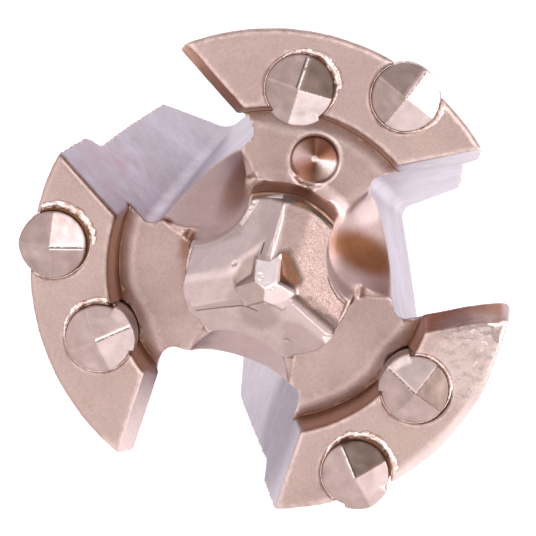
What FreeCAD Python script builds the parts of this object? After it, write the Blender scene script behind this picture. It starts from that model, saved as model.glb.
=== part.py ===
import FreeCAD, Part
import math
import os

from FreeCAD import Placement, Rotation, Vector

# Breakthrough drill bit for a rotary hammer: a three-armed forged head with six carbide inserts and a
# three-bladed carbide centre tip, on a plain rod with a slotted hammer shank. The bit lies on its side.
# Bit frame: Z is the bit's axis and points ahead of the face, and z = 0 is the face of the outer ring.
# Angles run anticlockwise as seen from in front of the head. Lengths are in mm, angles in degrees.

# Whole bit
overall_length = 600.0
arm_count = 3

# Ring that carries the outer cutting inserts
cutting_diameter = 80.0
ring_diameter = 76.7
ring_draft = 1.1
ring_face_chamfer = 0.6
ring_inner_radius = 25.9
ring_inner_edge_radius = 0.9
ring_wall_draft = 0.9
ring_thickness = 15.2
ring_rear_slope = 2.8

# Head body behind the ring
body_front_radius = 34.6
body_step_fillet = 1.5
body_rear_radius = 32.9
body_rear_depth = 59.5
neck_start_depth = 99.0
neck_end_depth = 108.0
neck_radius = 11.8

# Recessed web between the ring and the centre
web_depth = 8.0
web_outer_radius = 22.6
valley_extra_depth = 1.0
valley_radius = 24.1
valley_corner_radius = 0.7
web_shoulder_radius = 1.6

# Raised boss that carries the centre tip
boss_top_radius = 13.3
boss_base_radius = 13.8
boss_height = 3.6
boss_edge_radius = 0.5
boss_groove_depth = 0.9
boss_groove_width = 0.9
boss_groove_lip = 0.9
boss_groove_lip_radius = 0.63

# Flutes: straight slots between the arms, inclined to the axis
flute_angle = 11.4
flute_bottom = 17.2
flute_bottom_lean = 0.05
flute_trailing_offset = 12.6
flute_trailing_lean = 0.187
flute_leading_offset = 12.1
flute_leading_lean = 0.20
leading_bevel_depth = 6.1
leading_bevel_width = 2.0
flute_corner_radius = 2.0

# Notch beside the boss and scoop that leads cuttings into each flute
notch_reach = 9.0
notch_radius = 8.4
scoop_radius = 8.6
scoop_slope = 60.0
scoop_reach = 10.4
scoop_headroom = 0.5
scoop_overlap = 1.0

# Carbide inserts in the ring
insert_diameter = 10.6
insert_seat_depth = 11.0
insert_crown_height = 4.4
insert_facet_slope = 36.0
insert_land_drop = 0.16
insert_foot_chamfer = 0.4
outer_insert_angle = 52.6
inner_insert_angle = 81.0
inner_insert_radius = 29.3
outer_land_angles = (52.0, -4.0, 115.0)
inner_land_angles = (72.0, 21.0, 140.0)

# Brazed joints
braze_gap = 0.15
braze_bead_width = 0.8
braze_bead_height = 0.6

# Dimple drilled in one arm's web
dimple_radius = 18.4
dimple_angle = 68.8
dimple_diameter = 7.6
dimple_wall = 0.9
dimple_point_angle = 118.0
dimple_rim_chamfer = 0.4

# Carbide centre tip: a fall is the drop in height for each mm outwards, or to one side
tip_radius = 13.2
tip_height = 18.0
tip_notch_angle = 10.0
tip_notch_reach = 9.3
tip_notch_radius = 10.0
tip_blade_angle = 74.5
ridge_offset = 0.8
ridge_root_height = 16.35
ridge_fall = 0.47
rake_side_fall = 1.45
relief_side_fall = 0.55
relief_width = 4.6
second_relief_side_fall = 1.0
ridge_end_chamfer = 1.2
ridge_end_chamfer_fall = 1.27
ridge_end_chamfer_side_fall = 0.15
tip_side_flats = ((-27.5, 12.6), (24.0, 12.5))
blade_sector_ahead = 40.0
blade_sector_behind = 118.0
gash_root_height = 14.3
gash_fall = 0.23
gash_side_fall = 0.44
gash_end = 4.6
gash_end_rise = 1.3
tip_web_turn = 9.8
tip_web_fall = 0.93
tip_web_length = 4.4
tip_web_half_width = 1.6
tip_web_wall_fall = 5.0
tip_spigot_radius = 6.0
tip_spigot_depth = 12.0
tip_spigot_chamfer = 0.5

# Rod and hammer shank
rod_diameter = 22.0
rod_spigot_diameter = 15.0
rod_spigot_length = 32.0
rod_spigot_chamfer = 0.5
rod_spigot_clearance = 0.05
shank_diameter = 18.0
shank_length = 130.0
shank_shoulder_length = 4.0
shank_end_chamfer = 1.5
open_slot_angles = (0.0, 150.0, 210.0)
open_slot_width = 6.0
open_slot_depth = 3.0
open_slot_length = 62.0
closed_slot_angles = (90.0, 270.0)
closed_slot_width = 8.0
closed_slot_depth = 2.4
closed_slot_length = 34.0
closed_slot_from_end = 30.0

# Derived sizes
ring_radius = ring_diameter / 2
insert_radius = insert_diameter / 2
outer_insert_radius = cutting_diameter / 2 - insert_radius
rod_radius = rod_diameter / 2
shank_radius = shank_diameter / 2
web_z = -web_depth
rear_z = tip_height - overall_length
rod_front_z = -neck_end_depth
arm_pitch = 360.0 / arm_count
flute_front = 3.0
flute_rear_z = -neck_start_depth
reach_past = 60.0
close_enough = 0.01
AXIS = Vector(0, 0, 1)
ORIGIN = Vector(0, 0, 0)


def polar(radius, angle, z):
    """Point of the bit frame at a radius, an angle and a height."""
    turn = math.radians(angle)
    return Vector(radius * math.cos(turn), radius * math.sin(turn), z)


def turned(shape, angle):
    """Copy of a shape, turned about the bit's axis."""
    return shape.rotated(ORIGIN, AXIS, angle)


def revolved(points):
    """Solid of revolution from (radius, z) points."""
    corners = [Vector(radius, 0, z) for radius, z in points]
    face = Part.Face(Part.makePolygon(corners + corners[:1]))
    return face.revolve(ORIGIN, AXIS, 360)


def below_plane(point, normal, size=200.0):
    """Large block that fills the side of a plane that its normal points away from."""
    block = Part.makeBox(size, size, size, Vector(-size / 2, -size / 2, -size))
    block.Placement = Placement(point, Rotation(AXIS, normal))
    return block


def edges_at(shape, z):
    """Edges of a shape whose ends all lie at a height."""
    return [e for e in shape.Edges if all(abs(v.Point.z - z) < close_enough for v in e.Vertexes)]


def fused(shapes):
    """One shape from several that meet."""
    return shapes[0].multiFuse(shapes[1:]).removeSplitter()


def flute_point(v, z):
    """Point of the flute's bottom wall, beside the flute's middle by v and at height z."""
    return Vector(flute_bottom - flute_bottom_lean * z, v, z)


def trailing_side(z):
    """Distance from the flute's middle to the wall on its anticlockwise side."""
    return flute_trailing_offset + flute_trailing_lean * z


def leading_side(z):
    """Distance from the flute's middle to the undercut wall on its clockwise side."""
    return -flute_leading_offset + flute_leading_lean * (z + leading_bevel_depth)


def bevel_side(z):
    """Distance from the flute's middle to the bevel in front of the undercut wall."""
    return -flute_leading_offset - leading_bevel_width * (1 + z / leading_bevel_depth)


def flute_cutter():
    """Slot between two arms, with its middle along +X."""
    corners = [
        flute_point(trailing_side(flute_front), flute_front),
        flute_point(bevel_side(flute_front), flute_front),
        flute_point(-flute_leading_offset, -leading_bevel_depth),
        flute_point(leading_side(flute_rear_z), flute_rear_z),
        flute_point(trailing_side(flute_rear_z), flute_rear_z),
    ]
    face = Part.Face(Part.makePolygon(corners + corners[:1]))
    slot = face.extrude(Vector(reach_past, 0, 0))
    long_walls = []
    for edge in slot.Edges:
        ends = [vertex.Point for vertex in edge.Vertexes]
        at_bottom = all(end.distanceToPoint(flute_point(end.y, end.z)) < close_enough for end in ends)
        if at_bottom and abs(ends[0].z - ends[1].z) > leading_bevel_depth / 2:
            long_walls.append(edge)
    return slot.makeFillet(flute_corner_radius, long_walls)


def notch_cutter():
    """Upright round notch beside the boss, with its middle along +X."""
    centre = Vector(notch_reach + notch_radius, 0, web_z - valley_extra_depth / 2)
    return Part.makeCylinder(notch_radius, reach_past, centre, AXIS)


def tip_notch_cutter():
    """Upright round notch between two blades of the centre tip, with its middle along +X."""
    centre = Vector(tip_notch_reach + tip_notch_radius, 0, 0)
    return Part.makeCylinder(tip_notch_radius, reach_past, centre, AXIS)


def scoop_cutter():
    """Inclined round scoop that falls from the notch to the flute, with its middle along +X."""
    slope = math.radians(scoop_slope)
    down = Vector(math.cos(slope), 0, -math.sin(slope))
    outward = Vector(math.sin(slope), 0, math.cos(slope))
    start = Vector(scoop_reach, 0, web_z) + outward * scoop_radius - down * scoop_radius
    scoop = Part.makeCylinder(scoop_radius, reach_past, start, down)
    scoop = scoop.common(below_plane(Vector(0, 0, web_z + scoop_headroom), AXIS))
    past_flute = Vector(flute_bottom + scoop_overlap - flute_bottom_lean * web_z, 0, 0)
    return scoop.common(below_plane(past_flute, Vector(1, 0, 0)))


def rounded_rings(solid, rings):
    """Turned solid with some of its circular edges rounded, from (edge radius, edge z, rounding) entries."""
    for edge_radius, edge_z, rounding in rings:
        found = []
        for edge in solid.Edges:
            if isinstance(edge.Curve, Part.Circle):
                miss = max(abs(edge.Curve.Radius - edge_radius), abs(edge.Curve.Center.z - edge_z))
                if miss < close_enough:
                    found.append(edge)
        solid = solid.makeFillet(rounding, found)
    return solid


def head_blank():
    """Turned outline of the head, before its flutes and pockets."""
    groove_z = web_z - boss_groove_depth
    groove_radius = boss_base_radius + boss_groove_width
    valley_z = web_z - valley_extra_depth
    wall_foot = ring_inner_radius - ring_wall_draft
    step_z = -ring_thickness - ring_rear_slope
    outline = [
        (0, boss_height),
        (boss_top_radius, boss_height),
        (boss_base_radius, groove_z),
        (groove_radius, groove_z),
        (groove_radius + boss_groove_lip, web_z),
        (web_outer_radius, web_z),
        (valley_radius, valley_z),
        (wall_foot, valley_z),
        (ring_inner_radius, 0),
        (ring_radius - ring_face_chamfer, 0),
        (ring_radius, -ring_face_chamfer),
        (ring_radius - ring_draft, -ring_thickness),
        (body_front_radius, step_z),
        (body_rear_radius, -body_rear_depth),
        (neck_radius, -neck_start_depth),
        (neck_radius, -neck_end_depth),
        (0, -neck_end_depth),
    ]
    rings = [
        (boss_top_radius, boss_height, boss_edge_radius),
        (groove_radius + boss_groove_lip, web_z, boss_groove_lip_radius),
        (web_outer_radius, web_z, web_shoulder_radius),
        (wall_foot, valley_z, valley_corner_radius),
        (ring_inner_radius, 0, ring_inner_edge_radius),
        (body_front_radius, step_z, body_step_fillet),
    ]
    return rounded_rings(revolved(outline), rings)


def insert_places():
    """Name, centre on the ring's face and land angle of each insert."""
    places = []
    for k in range(arm_count):
        outer = polar(outer_insert_radius, outer_insert_angle + k * arm_pitch, 0)
        inner = polar(inner_insert_radius, inner_insert_angle + k * arm_pitch, 0)
        places.append(("outer_insert_%d" % (k + 1), outer, outer_land_angles[k % len(outer_land_angles)]))
        places.append(("inner_insert_%d" % (k + 1), inner, inner_land_angles[k % len(inner_land_angles)]))
    return places


def insert_solid(centre, land_angle):
    """Carbide pin with a four-sided point, one of whose edges is ground to a narrow land."""
    pin = Part.makeCylinder(
        insert_radius, insert_seat_depth + insert_crown_height, Vector(0, 0, -insert_seat_depth), AXIS
    )
    apex = Vector(0, 0, insert_crown_height)
    slope = math.radians(insert_facet_slope)
    for k in range(4):
        lean = math.radians(45 + 90 * k)
        normal = Vector(math.sin(slope) * math.cos(lean), math.sin(slope) * math.sin(lean), math.cos(slope))
        pin = pin.common(below_plane(apex, normal))
    edge_slope = math.atan(math.tan(slope) * math.cos(math.radians(45)))
    land_normal = Vector(math.sin(edge_slope), 0, math.cos(edge_slope))
    pin = pin.common(below_plane(apex - land_normal * insert_land_drop, land_normal))
    pin = pin.makeChamfer(insert_foot_chamfer, edges_at(pin, -insert_seat_depth))
    pin = turned(pin, land_angle)
    pin.translate(centre)
    return pin


def insert_pocket(centre):
    """Round blind hole for an insert and its braze."""
    depth = insert_seat_depth + braze_gap
    hole = Part.makeCylinder(insert_radius + braze_gap, depth + flute_front, Vector(0, 0, -depth), AXIS)
    hole.translate(centre)
    return hole


def braze_solid(centre, blank, insert):
    """Braze between an insert and its pocket, with a bead on the ring's face."""
    filled = insert_pocket(centre)
    ring_face = Part.makeCylinder(ring_radius - ring_face_chamfer, braze_bead_height, ORIGIN, AXIS)
    inner_edge = ring_inner_radius + ring_inner_edge_radius
    ring_face = ring_face.cut(Part.makeCylinder(inner_edge, braze_bead_height))
    bead = Part.makeCone(insert_radius + braze_bead_width, insert_radius + braze_gap, braze_bead_height)
    bead.translate(centre)
    bead = bead.common(ring_face)
    return fused([filled.common(blank), bead]).cut(insert)


def dimple_cutter():
    """Drilled dimple with a conical floor."""
    radius = dimple_diameter / 2
    point = radius / math.tan(math.radians(dimple_point_angle / 2))
    hole = revolved(
        [
            (0, web_z - dimple_wall - point),
            (radius, web_z - dimple_wall),
            (radius, web_z - dimple_rim_chamfer),
            (radius + dimple_rim_chamfer, web_z),
            (radius + dimple_rim_chamfer, 0),
            (0, 0),
        ]
    )
    hole.translate(polar(dimple_radius, dimple_angle, 0))
    return hole


def blade():
    """One cutting blade of the centre tip: the ridge runs along +X, with the rake on its +Y side."""
    body = Part.makeCylinder(tip_radius, tip_height, Vector(0, 0, boss_height + braze_gap), AXIS)
    ridge_root = Vector(0, ridge_offset, ridge_root_height)
    crease_root = ridge_root - Vector(0, relief_width, relief_width * relief_side_fall)
    end_x = tip_radius - ridge_end_chamfer
    chamfer_start = ridge_root + Vector(end_x, 0, -end_x * ridge_fall)
    facets = [
        (ridge_root, Vector(ridge_fall, rake_side_fall, 1)),
        (ridge_root, Vector(ridge_fall, -relief_side_fall, 1)),
        (crease_root, Vector(ridge_fall, -second_relief_side_fall, 1)),
        (chamfer_start, Vector(ridge_end_chamfer_fall, -ridge_end_chamfer_side_fall, 1)),
        (ORIGIN, polar(1, blade_sector_ahead + 90, 0)),
        (ORIGIN, polar(1, -blade_sector_behind - 90, 0)),
    ]
    for point, normal in facets:
        body = body.common(below_plane(point, normal))
    gash_floor = below_plane(Vector(0, 0, gash_root_height), Vector(gash_fall, -gash_side_fall, 1))
    end_point = ridge_root + Vector(gash_end, 0, -gash_end * ridge_fall)
    gash_wall = below_plane(end_point, Vector(-gash_end_rise, -relief_side_fall, 1))
    return fused([body.common(gash_floor), body.common(gash_wall)])


def tip_web():
    """Short flat-topped rib at the root of a blade, along +X."""
    foot = boss_height + braze_gap
    apex = Vector(0, 0, tip_height)
    rib = Part.makeBox(tip_web_length, tip_radius * 2, tip_height - foot, Vector(0, -tip_radius, foot))
    rib = rib.common(below_plane(apex, Vector(tip_web_fall, 0, 1)))
    for side in (1, -1):
        rib = rib.common(below_plane(ORIGIN, polar(1, side * (arm_pitch / 2 + 90), 0)))
        edge = apex + Vector(0, side * tip_web_half_width, 0)
        rib = rib.common(below_plane(edge, Vector(tip_web_fall, side * tip_web_wall_fall, 1)))
    return rib


def centre_tip():
    """Three-bladed carbide tip with a spigot that is brazed into the boss."""
    pieces = []
    for k in range(arm_count):
        angle = tip_blade_angle + k * arm_pitch
        pieces.append(turned(blade(), angle))
        pieces.append(turned(tip_web(), angle + tip_web_turn))
    crown = fused(pieces)
    for k in range(arm_count):
        crown = crown.cut(turned(tip_notch_cutter(), tip_notch_angle + k * arm_pitch))
        for flat_angle, reach in tip_side_flats:
            angle = tip_blade_angle + flat_angle + k * arm_pitch
            crown = crown.common(below_plane(polar(reach, angle, 0), polar(1, angle, 0)))
    top = boss_height + braze_gap
    spigot = Part.makeCylinder(tip_spigot_radius, tip_spigot_depth + top, Vector(0, 0, -tip_spigot_depth))
    spigot = spigot.makeChamfer(tip_spigot_chamfer, edges_at(spigot, -tip_spigot_depth))
    return fused([crown, spigot])


def tip_braze(tip):
    """Braze under the tip's crown and round its spigot."""
    depth = tip_spigot_depth + braze_gap
    sleeve = Part.makeCylinder(tip_spigot_radius + braze_gap, depth + boss_height, Vector(0, 0, -depth))
    layer = Part.makeCylinder(boss_top_radius - boss_edge_radius, braze_gap, Vector(0, 0, boss_height))
    for k in range(arm_count):
        layer = layer.cut(turned(tip_notch_cutter(), tip_notch_angle + k * arm_pitch))
        layer = layer.cut(turned(notch_cutter(), flute_angle + k * arm_pitch))
    return fused([layer, sleeve]).cut(tip)


def head_solid(blank):
    """Forged steel head with its flutes, scoops and pockets."""
    cutters = []
    for k in range(arm_count):
        angle = flute_angle + k * arm_pitch
        cutters.append(turned(flute_cutter(), angle))
        cutters.append(turned(notch_cutter(), angle))
        cutters.append(turned(scoop_cutter(), angle))
    for _, centre, _ in insert_places():
        cutters.append(insert_pocket(centre))
    cutters.append(dimple_cutter())
    tip_hole_depth = tip_spigot_depth + braze_gap
    tip_hole_radius = tip_spigot_radius + braze_gap
    cutters.append(
        Part.makeCylinder(tip_hole_radius, tip_hole_depth + reach_past, Vector(0, 0, -tip_hole_depth))
    )
    socket_radius = rod_spigot_diameter / 2 + rod_spigot_clearance
    socket_length = rod_spigot_length + rod_spigot_clearance
    cutters.append(Part.makeCylinder(socket_radius, socket_length, Vector(0, 0, rod_front_z)))
    head = blank
    for cutter in cutters:
        head = head.cut(cutter)
    return head


def slot_cutter(width, depth, start_z, length, closed):
    """Round-floored slot in the shank along +X, from start_z towards the head, with round ends."""
    radius = width / 2
    centre_x = shank_radius - depth + radius
    rear_z_of_bar = start_z + radius if closed else start_z - radius
    bar_length = start_z + length - radius - rear_z_of_bar
    pieces = [
        Part.makeCylinder(radius, bar_length, Vector(centre_x, 0, rear_z_of_bar)),
        Part.makeSphere(radius, Vector(centre_x, 0, rear_z_of_bar + bar_length)),
        Part.makeBox(radius * 2, width, bar_length, Vector(centre_x, -radius, rear_z_of_bar)),
    ]
    if closed:
        pieces.append(Part.makeSphere(radius, Vector(centre_x, 0, rear_z_of_bar)))
    return fused(pieces)


def drill_rod():
    """Rod with the spigot that enters the head and the slotted shank at its rear."""
    shank_front_z = rear_z + shank_length
    spigot_radius = rod_spigot_diameter / 2
    outline = [
        (0, rod_front_z + rod_spigot_length),
        (spigot_radius - rod_spigot_chamfer, rod_front_z + rod_spigot_length),
        (spigot_radius, rod_front_z + rod_spigot_length - rod_spigot_chamfer),
        (spigot_radius, rod_front_z),
        (rod_radius, rod_front_z),
        (rod_radius, shank_front_z + shank_shoulder_length),
        (shank_radius, shank_front_z),
        (shank_radius, rear_z + shank_end_chamfer),
        (shank_radius - shank_end_chamfer, rear_z),
        (0, rear_z),
    ]
    rod = revolved(outline)
    open_slot = slot_cutter(open_slot_width, open_slot_depth, rear_z, open_slot_length, False)
    for angle in open_slot_angles:
        rod = rod.cut(turned(open_slot, angle))
    closed_start = rear_z + closed_slot_from_end
    closed_slot = slot_cutter(closed_slot_width, closed_slot_depth, closed_start, closed_slot_length, True)
    for angle in closed_slot_angles:
        rod = rod.cut(turned(closed_slot, angle))
    return rod


def rest_attitude():
    """Placement of the bit as it lies: on a corner of each arm beside one flute, and on the shank's end."""
    flute = flute_angle + (arm_count - 1) * arm_pitch
    draft = ring_draft / (ring_thickness - ring_face_chamfer)
    front_z = -leading_bevel_depth
    front_radius = ring_radius - draft * (leading_bevel_depth - ring_face_chamfer)
    front_turn = math.degrees(math.asin(flute_leading_offset / front_radius))
    front_corner = polar(front_radius, flute - front_turn, 0)
    back_z = -ring_thickness
    back_radius = ring_radius - ring_draft
    back_turn = math.degrees(math.asin(trailing_side(back_z) / back_radius))
    back_corner = polar(back_radius, flute + back_turn, 0)
    end_z = rear_z + shank_end_chamfer
    share = (back_z - end_z) / (front_z - end_z)
    across = back_corner - front_corner * share
    down = math.atan2(across.y, across.x) - math.acos(shank_radius * (1 - share) / across.Length)
    low = Vector(math.cos(down), math.sin(down), 0)
    tilt = math.atan((front_corner.dot(low) - shank_radius) / (front_z - end_z))
    roll = Rotation(AXIS, -90 - math.degrees(down))
    lay = Rotation(Vector(1, 0, 0), 90 - math.degrees(tilt))
    return Placement(ORIGIN, lay.multiply(roll))


def make_nodes():
    """Every node of the bit, in the bit frame."""
    nodes = {}
    blank = head_blank()
    nodes["head_body"] = head_solid(blank)
    nodes["drill_rod"] = drill_rod()
    nodes["centre_tip"] = centre_tip()
    nodes["centre_tip_braze"] = tip_braze(nodes["centre_tip"])
    for name, centre, land_angle in insert_places():
        nodes[name] = insert_solid(centre, land_angle)
        nodes[name + "_braze"] = braze_solid(centre, blank, nodes[name])
    return nodes


def main():
    """Lay the bit down, put the origin under its middle and write one file for each node."""
    nodes = make_nodes()
    lie = rest_attitude()
    laid = {}
    for name, shape in nodes.items():
        laid[name] = shape.transformed(lie.toMatrix())
    box = Part.makeCompound(list(laid.values())).optimalBoundingBox()
    home = Vector(-(box.XMin + box.XMax) / 2, -(box.YMin + box.YMax) / 2, -box.ZMin)
    os.makedirs("parts", exist_ok=True)
    for name, shape in laid.items():
        shape.translate(home)
        print(name, "valid", shape.isValid(), "solids", len(shape.Solids), "volume", round(shape.Volume, 1))
        shape.exportStep("parts/%s.step" % name)


main()
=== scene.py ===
"""Looks of the breakthrough drill bit: worn forged head, brazed carbide, turned rod, pale floor."""

import math

import bpy
import numpy as np
from mathutils import Matrix, Vector, noise


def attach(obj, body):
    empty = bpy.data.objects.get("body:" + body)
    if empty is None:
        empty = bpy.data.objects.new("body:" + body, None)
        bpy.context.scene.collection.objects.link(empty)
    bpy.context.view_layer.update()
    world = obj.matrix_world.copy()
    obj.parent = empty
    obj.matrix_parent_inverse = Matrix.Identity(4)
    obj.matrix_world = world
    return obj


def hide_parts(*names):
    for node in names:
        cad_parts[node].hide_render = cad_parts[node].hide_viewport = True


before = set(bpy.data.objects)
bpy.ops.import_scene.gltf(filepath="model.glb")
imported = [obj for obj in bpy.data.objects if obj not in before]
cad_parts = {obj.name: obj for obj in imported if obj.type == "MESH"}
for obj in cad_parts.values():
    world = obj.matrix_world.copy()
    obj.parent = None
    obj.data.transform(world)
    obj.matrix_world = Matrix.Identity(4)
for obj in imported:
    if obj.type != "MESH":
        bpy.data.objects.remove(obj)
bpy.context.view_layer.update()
scene = bpy.context.scene

# The bit's own frame (mm, z along its axis, z = 0 on the ring's face) as it lies in the part's frame.
MM = 0.001
BIT_ROWS = ((0.941375, -0.337362, 0.0), (0.0159475, 0.0445001, -0.998882), (0.336985, 0.940323, 0.0472713))
BIT_AXIS = tuple(row[2] for row in BIT_ROWS)
BIT_HOME = Vector((0.425694, -281.862016, 36.430947))
TO_PART = Matrix.Translation(BIT_HOME * MM) @ (Matrix(BIT_ROWS) * MM).to_4x4()
TO_BIT = TO_PART.inverted()


# Camera: its place (m), the directions right and up in its picture, and its lens (mm).
CAMERA_PLACE = (0.00189, -0.59591, 0.09730)
CAMERA_RIGHT = Vector((0.9412, 0.0698, 0.3305))
CAMERA_UP = Vector((-0.3378, 0.1752, 0.9247))
CAMERA_LENS = 136.5


def make_camera():
    """Camera in front of the head, a little above the bit's axis and rolled as the photograph is."""
    data = bpy.data.cameras.new("camera")
    data.sensor_width = 36.0
    data.lens = CAMERA_LENS
    data.clip_start = 0.01
    data.clip_end = 50.0
    camera = bpy.data.objects.new("camera", data)
    scene.collection.objects.link(camera)
    right = CAMERA_RIGHT.normalized()
    up = (CAMERA_UP - right * CAMERA_UP.dot(right)).normalized()
    axes = Matrix((right, up, right.cross(up))).transposed().to_4x4()
    camera.matrix_world = Matrix.Translation(CAMERA_PLACE) @ axes
    scene.camera = camera


make_camera()


# Materials
class Shader:
    """Small helper that builds one node material."""

    def __init__(self, name):
        self.material = bpy.data.materials.new(name)
        self.material.use_nodes = True
        self.tree = self.material.node_tree
        self.out = self.tree.nodes["Principled BSDF"]
        coords = self.tree.nodes.new("ShaderNodeTexCoord")
        self.coords = coords.outputs["Object"]

    def node(self, kind, settings=None, **inputs):
        made = self.tree.nodes.new(kind)
        for key, value in (settings or {}).items():
            setattr(made, key, value)
        for key, value in inputs.items():
            self.feed(made, key.replace("_", " "), value)
        return made

    def feed(self, made, key, value):
        socket = made.inputs[int(key)] if key.isdigit() else made.inputs[key]
        if isinstance(value, bpy.types.NodeSocket):
            self.tree.links.new(value, socket)
        else:
            socket.default_value = value

    def noise(self, size_mm, detail=3.0, rough=0.6):
        """Noise whose features are about size_mm wide."""
        scale = (1 / (size_mm * MM),) * 3
        mapping = self.node("ShaderNodeMapping", Vector=self.coords, Scale=scale)
        texture = {"Vector": mapping.outputs[0], "Scale": 1.0, "Detail": detail, "Roughness": rough}
        return self.node("ShaderNodeTexNoise", **texture).outputs[0]

    def attribute(self, name):
        made = self.node("ShaderNodeAttribute", {"attribute_name": name})
        return made.outputs["Fac"]

    def ramp(self, fac, stops):
        made = self.node("ShaderNodeValToRGB", Fac=fac)
        elements = made.color_ramp.elements
        while len(elements) < len(stops):
            elements.new(0.5)
        for element, (place, value) in zip(elements, stops):
            element.position = place
            element.color = (value, value, value, 1) if isinstance(value, (int, float)) else (*value, 1)
        return made.outputs[0]

    def mixed(self, fac, first, second, blend="MIX"):
        """A second colour laid over a first one by a share."""
        made = self.node("ShaderNodeMix", {"data_type": "RGBA", "blend_type": blend})
        for index, value in ((0, fac), (6, first), (7, second)):
            if isinstance(value, tuple) and len(value) == 3:
                value = (*value, 1)
            self.feed(made, str(index), value)
        return made.outputs[2]

    def maths(self, kind, first, second=0.0):
        made = self.node("ShaderNodeMath", {"operation": kind})
        self.feed(made, "0", first)
        self.feed(made, "1", second)
        return made.outputs[0]

    def bump(self, height, distance_mm, strength, normal=None):
        made = self.node("ShaderNodeBump", Height=height, Strength=strength, Distance=distance_mm * MM)
        if normal is not None:
            self.feed(made, "Normal", normal)
        return made.outputs[0]

    def surface(self, **inputs):
        for key, value in inputs.items():
            if isinstance(value, tuple) and len(value) == 3:
                value = (*value, 1)
            self.feed(self.out, key.replace("_", " "), value)


# Tones of the head's steel: faces, machined walls with a part in painted shade, and painted shade on two
# front bevels.
FACE_LIGHT = (0.49, 0.365, 0.325)
FACE_DARK = (0.43, 0.315, 0.28)
FACE_PINK = (0.52, 0.40, 0.38)
WALL_LIGHT = (0.58, 0.52, 0.59)
WALL_DARK = (0.49, 0.43, 0.48)
WALL_PINK = (0.55, 0.40, 0.45)
WALL_SHADE = (0.34, 0.29, 0.335)
BEVEL_SHADE = (0.41, 0.18, 0.10)
# The scoops' tone, worn edges, and painted shade and highlights in hollows, corners and the groove inside the
# ring.
# Painted shade with a copper reflection on the ring's inner wall.
RING_WALL_SHADE = (0.52, 0.30, 0.21)
SCOOP = (0.52, 0.37, 0.35)
# Painted highlights on shoulders, in the scoops, along the right arm's rim and on one front bevel.
PAINTED_HIGHLIGHT = (0.86, 0.70, 0.67)
# Painted shade in the scoops and on the boss's wall, and a brown patch beside the boss.
BROWN = (0.23, 0.095, 0.04)
# Painted shade in hollows.
HOLLOW_SHADE = (0.34, 0.19, 0.125)
EDGE = (0.80, 0.64, 0.59)
# Painted shade in the groove inside the ring, in two tones mixed by noise.
VALLEY_SHADE = (0.40, 0.215, 0.145)
VALLEY_SHADE_WARM = (0.50, 0.30, 0.22)
# Painted shade in corners and along some edges.
CORNER_SHADE = (0.23, 0.11, 0.065)
# The melted patch, and the tint of brown places seen at a flat angle.
MELT = (0.56, 0.45, 0.41)
MELT_DARK = (0.36, 0.265, 0.23)
MELT_SHINE = (0.86, 0.76, 0.72)
GRAZING = (0.5, 0.36, 0.30)
# Tone of the bright point in the middle of the drilled pit.
PIT_MIDDLE = (0.86, 0.80, 0.77)
# The first ring is a painted shadow inside the pit's rim, the other two painted highlights on its rim and
# burr.
# Rings round the pit: tone, where they lie from its middle (cm) and how strong they are round it.
PIT_RINGS = (
    (
        (0.10, 0.05, 0.03),
        ((0.335, 0.0), (0.365, 0.9), (0.378, 0.9), (0.395, 0.0)),
        ((0.0, 0.5), (0.40, 0.15), (0.48, 0.2), (0.54, 1.0), (0.82, 1.0), (1.0, 0.5)),
    ),
    (
        (0.92, 0.78, 0.72),
        ((0.378, 0.0), (0.395, 0.9), (0.415, 0.9), (0.44, 0.0)),
        ((0.22, 0.0), (0.28, 0.9), (0.47, 0.9), (0.53, 0.25), (0.75, 0.1), (0.8, 0.0)),
    ),
    (
        (0.95, 0.85, 0.80),
        ((0.405, 0.0), (0.425, 0.8), (0.465, 0.8), (0.49, 0.0)),
        ((0.52, 0.0), (0.56, 0.7), (0.64, 1.0), (0.70, 0.4), (0.74, 0.0)),
    ),
)
# Tones round the drilled pit, from the picture's left by way of the bottom to the left again.
PIT_SHEEN = (
    (0.0, (0.55, 0.38, 0.36)),
    (0.12, (0.36, 0.17, 0.12)),
    (0.24, (0.26, 0.14, 0.08)),
    (0.32, (0.55, 0.42, 0.37)),
    (0.37, (0.80, 0.68, 0.64)),
    (0.47, (1.0, 0.97, 0.95)),
    (0.505, (0.62, 0.33, 0.24)),
    (0.62, (0.40, 0.19, 0.12)),
    (0.735, (0.50, 0.32, 0.25)),
    (0.76, (0.24, 0.12, 0.075)),
    (0.86, (0.34, 0.22, 0.17)),
    (0.93, (0.55, 0.40, 0.38)),
    (1.0, (0.55, 0.38, 0.36)),
)


def pit_looks(s, colour):
    """A head colour with the drilled pit's painted turned sheen, a painted shadow in its rim and painted
    highlights on its rim and burr.
    """
    x = s.maths("SUBTRACT", s.attribute("pit_x"), 0.5)
    y = s.maths("SUBTRACT", s.attribute("pit_y"), 0.5)
    turn = s.maths("ADD", s.maths("DIVIDE", s.maths("ARCTAN2", y, x), 2 * math.pi), 0.5)
    radius = s.maths("SQRT", s.maths("ADD", s.maths("MULTIPLY", x, x), s.maths("MULTIPLY", y, y)))
    colour = s.mixed(s.ramp(radius, ((0.35, 1.0), (0.38, 0.0))), colour, s.ramp(turn, PIT_SHEEN))
    colour = s.mixed(s.ramp(radius, ((0.045, 0.9), (0.065, 0.0))), colour, PIT_MIDDLE)
    for tone, reach, share in PIT_RINGS:
        ring = s.maths("MULTIPLY", s.ramp(radius, reach), s.ramp(turn, share))
        colour = s.mixed(ring, colour, tone)
    return colour


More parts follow.
